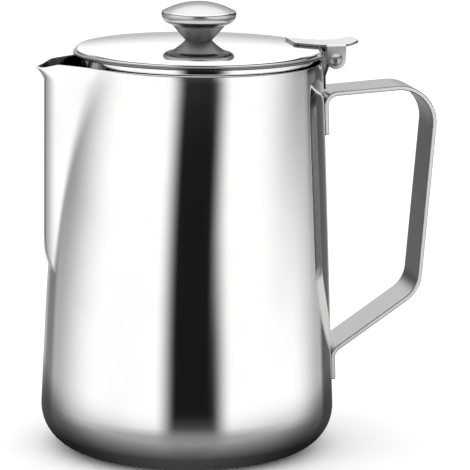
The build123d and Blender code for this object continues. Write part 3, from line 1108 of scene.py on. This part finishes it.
@dataclass
class Hinge(Assembly):
    """Strap on the lid, bracket on the wall and the rivet that joins them."""

    wall: WallForm = WallForm()
    lid: LidForm = LidForm()
    standoff: float = 0.0051
    rise: float = 0.0004
    pin_radius: float = 0.0015
    head_radius: float = 0.0028
    head_height: float = 0.0015
    running_gap: float = 0.00005
    bracket_sheet: float = 0.0011
    bracket_foot: float = 0.0132
    bracket_neck: float = 0.0074
    bracket_bend: float = 0.004
    knuckle_turn: float = math.radians(305.0)
    strap_width: float = 0.020
    strap_sheet: float = 0.001
    strap_gap: float = 0.0004
    strap_over_pin: float = 0.0055
    strap_inner_reach: float = 0.0408
    strap_columns: int = 26
    strap_rows: int = 5
    ear_radius: float = 0.0044
    ear_bend: float = 0.0008
    ear_steps: int = 4
    tab_reach: float = 0.0111
    tab_rise: float = 0.0016
    tab_level: float = 0.005
    tab_corner: float = 0.007
    strap_corner: float = 0.0015
    corner_share: float = 0.995
    bend_half: float = 0.0019
    bend_height: float = 0.0004
    notch: float = 0.0003
    edge_round: float = 0.00018
    seat_gap: float = 0.00003

    def axis(self) -> Plan:
        """Place (x, z) of the pin's axis."""
        return self.wall.reach(self.wall.height) + self.standoff, self.wall.height + self.rise

    def build(self) -> None:
        """Builds and dresses the three pieces."""
        self._build_bracket()
        self._build_pin()
        self._build_strap()

    def _build_bracket(self) -> None:
        """Plate bent to the wall, rising to a knuckle that is rolled round the pin."""
        axis_x, axis_z = self.axis()
        half = self.strap_width / 2 - self.strap_sheet - self.strap_gap
        middle = self.bracket_sheet / 2
        neck_z = axis_z - self.bracket_neck
        foot_z = axis_z - self.bracket_foot
        foot = (self.wall.reach(foot_z) + middle, foot_z)
        neck = Vector((self.wall.reach(neck_z) + middle, neck_z))
        roll = self.pin_radius + self.running_gap + middle
        arm = Vector((axis_x, axis_z)) - neck
        lead = math.atan2(arm.y, arm.x) + math.asin(roll / arm.length)
        run = math.sqrt(arm.length_squared - roll ** 2)
        touch = neck + run * Vector((math.cos(lead), math.sin(lead)))
        strip = Strip(foot, 2 * half, columns=14)
        strip.follow([neck, touch], (self.bracket_bend,), spans=6, steps=6)
        strip.bend((axis_x, axis_z), -self.knuckle_turn, steps=30)
        for vert in strip.bm.verts:
            fade = min(max((touch.y - vert.co.z) / (touch.y - neck_z), 0.0), 1.0)
            vert.co.x -= fade * vert.co.y ** 2 / (2 * self.wall.radius(neck_z))
        bmesh.ops.recalc_face_normals(strip.bm, faces=strip.bm.faces[:])
        looks = (HINGE_STEEL, CUT_EDGE_SHADE)
        self.shop.piece(
            "hinge_bracket_rolled", strip.bm, looks, Body.JUG, Slot.HINGE, ("hinge_bracket",),
            modify=lambda made: self._sheet(made, self.bracket_sheet),
            after=lambda bm: self.wall.seat(bm, self.seat_gap),
        )

    def _sheet(self, made: bpy.types.Object, sheet: float) -> None:
        """Adds the thickness of a pressed sheet and rounds its cut edges."""
        # The cut edges get the dark steel, a painted shade
        Workshop.thicken(made, sheet, Side.BOTH, edge_slot=SECOND_LOOK)
        Workshop.soften(made, self.edge_round, segments=2)

    def _build_pin(self) -> None:
        """Rivet with a domed head outside each ear."""
        seat = self.strap_width / 2
        end = seat + self.head_height
        bow = dome_bow(self.head_radius, self.head_height)
        pen = Lathe(0.0, -end)
        pen.arc_to(self.head_radius, -seat, -bow, steps=8)
        pen.line(self.pin_radius, -seat)
        pen.line(self.pin_radius, seat, spans=4)
        pen.line(self.head_radius, seat)
        pen.arc_to(0.0, end, -bow, steps=8)
        bm = pen.turn(steps=48)
        axis_x, axis_z = self.axis()
        lay = Matrix.Translation((axis_x, 0.0, axis_z)) @ Matrix.Rotation(math.pi / 2, 4, "X")
        bmesh.ops.transform(bm, matrix=lay, verts=bm.verts[:])
        self.shop.piece("hinge_rivet", bm, (RIVET_STEEL,), Body.LID, Slot.HINGE, ("hinge_pin",))

    def _build_strap(self) -> None:
        """Flat pattern with two flaps, bent to the lid and folded into ears beside the knuckle."""
        axis_x, axis_z = self.axis()
        half = self.strap_width / 2
        inner = self.lid.axis_x + self.strap_inner_reach
        tip = axis_x + self.tab_reach
        level = axis_z + self.strap_over_pin + self.strap_sheet / 2
        fold = half - self.strap_sheet / 2 - self.ear_bend
        arc = self.ear_bend * math.pi / 2
        flap = fold + arc + level - axis_z - self.ear_bend + self.ear_radius
        bm = self._flat_pattern(inner, tip, fold, flap)
        columns = range(1, self.strap_columns)
        rows = range(1 - self.strap_rows, self.strap_rows)
        folds = [fold + arc * step / self.ear_steps for step in range(self.ear_steps + 1)]
        cuts = [(inner + (tip - inner) * step / self.strap_columns, (1, 0, 0)) for step in columns]
        cuts += [(side * place, (0, 1, 0)) for place in folds for side in (-1, 1)]
        cuts += [(half * step / self.strap_rows, (0, 1, 0)) for step in rows]
        for place, normal in cuts:
            geometry = bm.verts[:] + bm.edges[:] + bm.faces[:]
            bmesh.ops.bisect_plane(bm, geom=geometry, plane_co=Vector(normal) * place, plane_no=normal)
        run = bm.verts.layers.float.new(Strip.RUN)
        for vert in bm.verts:
            vert[run] = vert.co.x
            height = self._strap_height(vert.co.x, tip, level)
            beyond = abs(vert.co.y) - fold
            if abs(vert.co.x - axis_x) <= self.ear_radius + MERGE_DISTANCE and beyond > 0.0:
                angle = min(beyond / self.ear_bend, math.pi / 2)
                vert.co.y = math.copysign(fold + self.ear_bend * math.sin(angle), vert.co.y)
                height -= self.ear_bend * (1.0 - math.cos(angle)) + max(beyond - arc, 0.0)
            vert.co.z = height
        bmesh.ops.recalc_face_normals(bm, faces=bm.faces[:])
        looks = (HINGE_STEEL, CUT_EDGE_SHADE)
        self.shop.piece(
            "lid_strap_tab", bm, looks, Body.LID, Slot.HINGE, ("lid_strap",),
            modify=lambda made: self._sheet(made, self.strap_sheet),
        )

    def _strap_height(self, x: float, tip: float, level: float) -> float:
        """Height of the strap's middle face: on the dome, level over the pin, up at the tab.

        Args:
            x: Place along the strap.
            tip: Place of the tab's tip along X.
            level: Height over the pin.

        Returns:
            The height.
        """
        level_to = self.axis()[0] + self.tab_level
        tab_slope = self.tab_rise / (tip - level_to)
        crown = self.lid.crown(min(x - self.lid.axis_x, self.lid.crown_reach))
        seat = crown + self.strap_sheet / 2 + self.seat_gap
        return soft_max(level, seat, self.bend_height) + tab_slope * soft_ramp(x - level_to, self.bend_half)

    def _flat_pattern(self, inner: float, tip: float, fold: float, flap: float) -> bmesh.types.BMesh:
        """Outline of the strap before folding, with round corners and a notch beside each fold.

        Args:
            inner: Place of the end on the lid along X.
            tip: Place of the tab's tip along X.
            fold: Distance of a fold from the plane of symmetry.
            flap: Distance of a flap's end from the plane of symmetry.

        Returns:
            A mesh of one flat face.
        """
        axis_x = self.axis()[0]
        half = self.strap_width / 2
        left = axis_x - self.ear_radius
        right = axis_x + self.ear_radius
        side = [(right + self.notch, half), (right + self.notch, fold), (right, fold), (right, flap)]
        side += [(left, flap), (left, fold), (left - self.notch, fold), (left - self.notch, half)]
        side += [(inner, half)]
        outline = [(tip, half), *side, *((x, -y) for x, y in reversed(side)), (tip, -half)]
        bm = bmesh.new()
        corners = [bm.verts.new((x, y, 0.0)) for x, y in outline]
        bm.faces.new(corners)
        # Places in the outline of the tab's corner, the two of an ear and the one on the lid
        rounds = {0: self.tab_corner, 4: self.ear_radius, 5: self.ear_radius, 9: self.strap_corner}
        for index, radius in rounds.items():
            bmesh.ops.bevel(
                bm,
                geom=[corners[index], corners[len(corners) - 1 - index]],
                offset=radius * self.corner_share,
                offset_type="OFFSET",
                segments=8,
                profile=0.5,
                affect="VERTICES",
                material=-1,
            )
        return bm


@dataclass
class Knob(Assembly):
    """Knob of two halves closed at their seam, with the washer and the screw's head beneath the lid."""

    lid: LidForm = LidForm()
    radius: float = 0.0165
    foot_radius: float = 0.0058
    stem_radius: float = 0.0118
    stem_height: float = 0.0068
    rim_height: float = 0.0050
    rim_lip: float = 0.0014
    rim_bulge: float = 0.0005
    rim_bow: float = 0.00091
    painted_shade_normal: float = -0.55
    cap_height: float = 0.0053
    cap_seam: float = 0.00004
    cap_edge: Plan = (0.0012, 0.0014)
    cap_edge_bow: float = 0.00034
    screw_radius: float = 0.002
    head_radius: float = 0.0036
    head_height: float = 0.0024
    head_crown: float = 0.6
    recess_share: float = 0.36
    recess_width: float = 0.001
    recess_depth: float = 0.0012
    washer_radius: float = 0.0046
    washer_sheet: float = 0.0008
    steps: int = 128
    fixing_steps: int = 64

    def build(self) -> None:
        """Builds and dresses the knob and its fixings."""
        self._build_stem()
        self._build_cap()
        self._build_washer()
        self._build_screw()

    def _seam(self) -> float:
        """Height of the seam between the knob's halves."""
        return self.lid.apex() + self.stem_height + self.rim_height

    def _washer_low(self) -> float:
        """Height of the washer's underside, which the screw's head bears on."""
        return self.lid.apex() - self.lid.sheet - self.washer_sheet

    def _build_stem(self) -> None:
        """Inverted cone that flares into the lower rim."""
        low = self.lid.apex()
        stem_top = low + self.stem_height
        pen = Lathe(0.0, low)
        pen.line(self.foot_radius, low, spans=2)
        pen.line(self.stem_radius, stem_top, spans=10)
        pen.line(self.stem_radius + self.rim_lip, stem_top + self.rim_bulge, spans=2)
        pen.arc_to(self.radius, self._seam(), -self.rim_bow, steps=10)
        pen.line(0.0, self._seam(), spans=4)
        bm = pen.turn(self.steps, self.lid.axis_x)
        # Faces that look down get the near-black steel, a painted shade under the rim
        Workshop.paint(bm, THIRD_LOOK, lambda face: face.normal.z < self.painted_shade_normal)
        # The stem gets the darker steel, a painted shade
        Workshop.paint(bm, SECOND_LOOK, lambda face: face.calc_center_median().z < stem_top)
        looks = (KNOB_RIM, STEM_SHADE_STEEL, KNOB_UNDERSIDE_SHADE)
        self.shop.piece("knob_lower_half", bm, looks, Body.LID, Slot.KNOB, ("knob_stem",))

    def _build_cap(self) -> None:
        """Domed upper half with a round edge, set in from the rim by a fine seam."""
        low = self._seam()
        edge = self.radius - self.cap_seam
        edge_run, edge_rise = self.cap_edge
        bow = dome_bow(edge - edge_run, self.cap_height - edge_rise)
        pen = Lathe(0.0, low)
        pen.line(edge, low, spans=4)
        pen.arc_to(edge - edge_run, low + edge_rise, -self.cap_edge_bow, steps=6)
        pen.arc_to(0.0, low + self.cap_height, -bow, steps=20)
        bm = pen.turn(self.steps, self.lid.axis_x)
        self.shop.piece("knob_upper_half", bm, (POLISHED_KNOB,), Body.LID, Slot.KNOB, ("knob_cap",))

    def _build_washer(self) -> None:
        """Plain washer under the lid."""
        low = self._washer_low()
        seat = low + self.washer_sheet
        pen = Lathe(self.screw_radius, seat)
        pen.line(self.screw_radius, low)
        pen.line(self.washer_radius, low)
        pen.line(self.washer_radius, seat)
        pen.line(self.screw_radius, seat)
        bm = pen.turn(self.fixing_steps, self.lid.axis_x)
        self.shop.piece("screw_washer", bm, (FIXING_STEEL,), Body.LID, Slot.FIXING, ("knob_washer",))

    def _build_screw(self) -> None:
        """Pan head of the screw, with a cross recess."""
        low = self._washer_low() - self.head_height
        crown = self.head_height * self.head_crown
        pen = Lathe(self.head_radius, self._washer_low())
        pen.line(self.head_radius, low + crown, spans=2)
        pen.arc((self.head_radius - crown, low + crown), -math.pi / 2, steps=8)
        bm = pen.turn(self.fixing_steps)
        bmesh.ops.holes_fill(bm, edges=[edge for edge in bm.edges if edge.is_boundary])
        self._cross_recess(bm, low)
        bmesh.ops.recalc_face_normals(bm, faces=bm.faces[:])
        bmesh.ops.translate(bm, vec=(self.lid.axis_x, 0.0, 0.0), verts=bm.verts[:])
        self.shop.piece("cross_head_screw", bm, (FIXING_STEEL,), Body.LID, Slot.FIXING, ("knob_screw",))

    def _cross_recess(self, bm: bmesh.types.BMesh, low: float) -> None:
        """Sinks a cross into the lower end of the screw's head.

        Args:
            bm: Mesh of the head, about the Z axis.
            low: Height of its lower end.
        """
        half = self.recess_width / 2
        reach = self.head_radius * self.recess_share
        for place in (-reach, -half, half, reach):
            for normal in ((1, 0, 0), (0, 1, 0)):
                ends = self._end_faces(bm, low)
                rest = [item for face in ends for item in (*face.edges, *face.verts)]
                geometry = list(dict.fromkeys([*ends, *rest]))
                bmesh.ops.bisect_plane(bm, geom=geometry, plane_co=Vector(normal) * place, plane_no=normal)
        arms = []
        for face in self._end_faces(bm, low):
            near, far = sorted(abs(part) for part in face.calc_center_median().xy)
            if near < half and far < reach:
                arms.append(face)
        sunk = bmesh.ops.extrude_face_region(bm, geom=arms)["geom"]
        verts = [item for item in sunk if isinstance(item, bmesh.types.BMVert)]
        bmesh.ops.translate(bm, vec=(0.0, 0.0, self.recess_depth), verts=verts)
        bmesh.ops.delete(bm, geom=arms, context="FACES_ONLY")

    @staticmethod
    def _end_faces(bm: bmesh.types.BMesh, low: float) -> list[bmesh.types.BMFace]:
        """Faces of a mesh that lie flat at a height."""
        return [item for item in bm.faces if all(abs(v.co.z - low) < MERGE_DISTANCE for v in item.verts)]


@dataclass(frozen=True)
class LightRing:
    """Ring of soft boxes and dark screens round the jug.

    Attributes:
        lights: Angles to the right of the camera, with the brightness that is seen there.
    """

    lights: tuple[Plan, ...]

    def stops(self) -> list[Plan]:
        """Stops of (place, brightness) on a ramp that goes once round from behind the jug."""
        return [(0.5 + angle / 360.0, light) for angle, light in self.lights]


LOW_RING = LightRing((
    (-180, 0.46), (-162, 0.40), (-150, 0.20), (-140, 0.20), (-130, 0.42), (-75, 1.03), (-25.5, 1.03),
    (-8, 0.009), (20, 0.009), (37, 1.03), (91, 1.03), (132, 0.46), (140, 0.10), (160, 0.12), (170, 0.38),
    (180, 0.46),
))
MID_RING = LightRing((
    (-180, 0.46), (-162, 0.38), (-150, 0.10), (-140, 0.11), (-126, 0.31), (-66, 1.03), (-25, 1.03),
    (-7.5, 0.009), (15.5, 0.009), (34, 1.03), (56, 1.03), (112, 0.36), (116, 0.30), (122, 0.02), (151, 0.07),
    (163, 0.38), (180, 0.46),
))
HIGH_RING = LightRing((
    (-180, 1.06), (-158, 1.0), (-132, 0.3), (-66, 1.03), (-28.5, 1.03), (-9.5, 0.05), (11, 0.05), (31, 1.03),
    (56, 1.03), (118, 0.36), (121, 0.33), (127, 0.04), (146, 0.1), (160, 1.0), (180, 1.06),
))
ROOF_RING = LightRing((
    (-180, 1.06), (-140, 1.06), (-110, 0.18), (0, 0.16), (60, 0.05), (125, 0.04), (150, 1.06), (180, 1.06),
))


@dataclass
class Studio:
    """Camera, white floor, and white surroundings in which polished metal sees bright and dark bands.

    Attributes:
        azimuth: Angle of the camera about the jug.
        place: Place of the camera.
        target: Point that it looks at.
        roll: Turn of the camera about its own axis.
        lens: Focal length in millimetres.
        sensor: Width of its sensor in millimetres.
        clip_start: Nearest distance that it sees.
        floor_radius: Radius of the floor.
        floor_segments: Sides of its outline.
        floor_white: Brightness of the floor's colour.
        room_light: Light of the surroundings on the floor.
        mirror_light: Light that a band's brightness of 1 stands for.
        top_light: Brightness of the surroundings above the bands.
        near: Distances from the jug's axis between which polished metal sees the floor change.
        floor_shade: Painted shade of the floor over that run, which only polished metal sees.
        floor_cover: Share of the floor over that run that isn't clear to polished metal.
        front: Brightness of that floor, from beside and behind the jug to before it.
        front_share: Weight of the direction in that brightness.
        front_spread: Weight of the distance from the foot in that brightness.
        low_span: Heights between which the low ring goes over into the middle one.
        high_span: Heights between which the high ring takes over.
        roof_span: Heights between which the roof's ring takes over.
        top_span: Heights between which the top light takes over.
    """

    azimuth: float = math.radians(-11.439)
    place: tuple[float, float, float] = (-0.2480, -1.3293, 0.3515)
    target: tuple[float, float, float] = (0.02017, -0.00408, 0.09467)
    roll: float = math.radians(0.702)
    lens: float = 237.87
    sensor: float = 36.0
    clip_start: float = 0.01
    floor_radius: float = 6.0
    floor_segments: int = 96
    floor_white: float = 1.0
    room_light: float = 1.2
    mirror_light: float = 1.25
    top_light: float = 1.35
    near: Plan = (0.062, 0.320)
    floor_shade: tuple[Plan, ...] = ((0.0, 0.30), (0.02, 0.55), (0.05, 0.80), (0.10, 1.0))
    floor_cover: tuple[Plan, ...] = (
        (0.0, 1.0), (0.10, 0.93), (0.26, 0.86), (0.32, 0.80), (0.37, 0.70),
        (0.44, 0.52), (0.52, 0.26), (0.58, 0.12), (0.64, 0.05), (0.69, 0.0),
    )
    front: tuple[Plan, ...] = (
        (0.33, 0.042), (0.47, 0.07), (0.57, 0.12), (0.67, 0.18),
        (0.73, 0.215), (0.8, 0.265), (0.87, 0.285), (1.0, 0.27),
    )
    front_share: float = 0.667
    front_spread: float = 6.67
    low_span: Plan = (-0.182, -0.035)
    high_span: Plan = (0.020, 0.235)
    roof_span: Plan = (0.180, 0.340)
    top_span: Plan = (0.520, 0.600)

    def build(self) -> None:
        """Sets up the camera, the floor and the surroundings."""
        self._camera()
        self._floor()
        self._surroundings()
        bpy.context.scene.view_settings.view_transform = "Standard"

    def _camera(self) -> None:
        """Camera at the photograph's place, turned a little about its own axis."""
        data = bpy.data.cameras.new("photo_camera")
        data.lens = self.lens
        data.sensor_width = self.sensor
        data.sensor_fit = "HORIZONTAL"
        data.clip_start = self.clip_start
        camera = bpy.data.objects.new("photo_camera", data)
        bpy.context.scene.collection.objects.link(camera)
        look = (Vector(self.target) - Vector(self.place)).to_track_quat("-Z", "Y").to_matrix().to_4x4()
        camera.matrix_world = Matrix.Translation(self.place) @ look @ Matrix.Rotation(self.roll, 4, "Z")
        bpy.context.scene.camera = camera

    def _floor(self) -> None:
        """White floor with the jug's shadow; polished metal sees instead a painted shadow, a dim glow near
        the foot, and clear further out.
        """
        bm = bmesh.new()
        bmesh.ops.create_circle(bm, cap_ends=True, radius=self.floor_radius, segments=self.floor_segments)
        mesh = bpy.data.meshes.new("white_floor")
        bm.to_mesh(mesh)
        bm.free()
        paint = bpy.data.materials.new("white_floor")
        paint.use_nodes = True
        nodes = paint.node_tree.nodes
        shader = nodes["Principled BSDF"]
        board = NodeBoard(paint.node_tree)
        matt = {"Base Color": grey(self.floor_white), "Roughness": 1.0, "Specular IOR Level": 0.0}
        board.feed(shader, matt)
        place = board.place()
        radius = board.vector("LENGTH", "Value", {0: place})
        share = board.mapped(radius, self.near)
        # Painted shadow and light: an emission that only polished metal sees, dim near the foot and brighter
        # before the jug
        strength = self._front_light(board, place, radius)
        light = {"Color": board.greys(share, self.floor_shade), "Strength": strength}
        dim = board.add("ShaderNodeEmission", light).outputs["Emission"]
        clear = board.add("ShaderNodeBsdfTransparent", {}).outputs["BSDF"]
        mirrored = board.shade(board.greys(share, self.floor_cover), clear, dim)
        glossy = board.add("ShaderNodeLightPath", {}).outputs["Is Glossy Ray"]
        seen = board.shade(glossy, shader.outputs["BSDF"], mirrored)
        board.feed(nodes["Material Output"], {"Surface": seen})
        mesh.materials.append(paint)
        floor = bpy.data.objects.new("white_floor", mesh)
        bpy.context.scene.collection.objects.link(floor)

    def _front_light(self, board: NodeBoard, place: Socket, radius: Socket) -> Socket:
        """Strength of the floor's painted light in polished metal: brighter before the jug and further from
        its foot.

        Args:
            board: Nodes of the floor.
            place: Place on the floor.
            radius: Distance of that place from the jug's axis.

        Returns:
            The strength.
        """
        ahead = (self.front_share * math.sin(self.azimuth), -self.front_share * math.cos(self.azimuth), 0.0)
        outward = board.vector("NORMALIZE", "Vector", {0: place})
        facing = board.vector("DOT_PRODUCT", "Value", {0: outward, 1: ahead})
        beyond = board.math("SUBTRACT", radius, self.near[0])
        opened = board.math("MULTIPLY_ADD", beyond, self.front_spread, facing)
        return board.math("MULTIPLY", board.greys(opened, self.front), self.mirror_light)

    def _surroundings(self) -> None:
        """Even white light, in which polished metal sees the soft boxes and the dark gaps between them."""
        world = bpy.data.worlds.new("soft_surroundings")
        bpy.context.scene.world = world
        world.use_nodes = True
        board = NodeBoard(world.node_tree)
        outward = board.add("ShaderNodeTexCoord", {}).outputs["Generated"]
        turned = board.add("ShaderNodeMapping", {"Vector": outward, "Rotation": (0.0, 0.0, -self.azimuth)})
        parts = board.split(turned.outputs["Vector"])
        angle = board.math("ARCTAN2", parts["X"], board.math("MULTIPLY", parts["Y"], -1.0))
        share = board.mapped(angle, (-math.pi, math.pi))
        rings = (LOW_RING, MID_RING, HIGH_RING, ROOF_RING)
        spans = (self.low_span, self.high_span, self.roof_span, self.top_span)
        levels = [board.greys(share, ring.stops(), Way.EASED) for ring in rings]
        levels.append(grey(self.top_light))
        seen = levels[0]
        for span, level in zip(spans, levels[1:]):
            seen = board.mix(board.mapped(parts["Z"], span, way=Way.SMOOTH), seen, level)
        path = board.add("ShaderNodeLightPath", {}).outputs
        to_camera = path["Is Camera Ray"]
        plain = board.mapped(to_camera, (0.0, 1.0), (self.room_light / self.mirror_light, 1.0))
        light = {
            "Color": board.mix(path["Is Glossy Ray"], plain, seen),
            "Strength": board.mapped(to_camera, (0.0, 1.0), (self.mirror_light, 1.0)),
        }
        board.feed(world.node_tree.nodes["Background"], light)


def main() -> None:
    """Builds the jug's pieces in order, then the studio."""
    logging.basicConfig(level=logging.INFO, format="%(name)s %(message)s")
    shop = Workshop()
    for assembly in (JugBody, StrapHandle, Lid, Hinge, Knob):
        assembly(shop).build()
    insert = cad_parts["knob_insert"]
    for cad_slot in insert.material_slots:
        cad_slot.material = shop.finish(FIXING_STEEL)
    Studio().build()


if __name__ == "__main__":
    main()
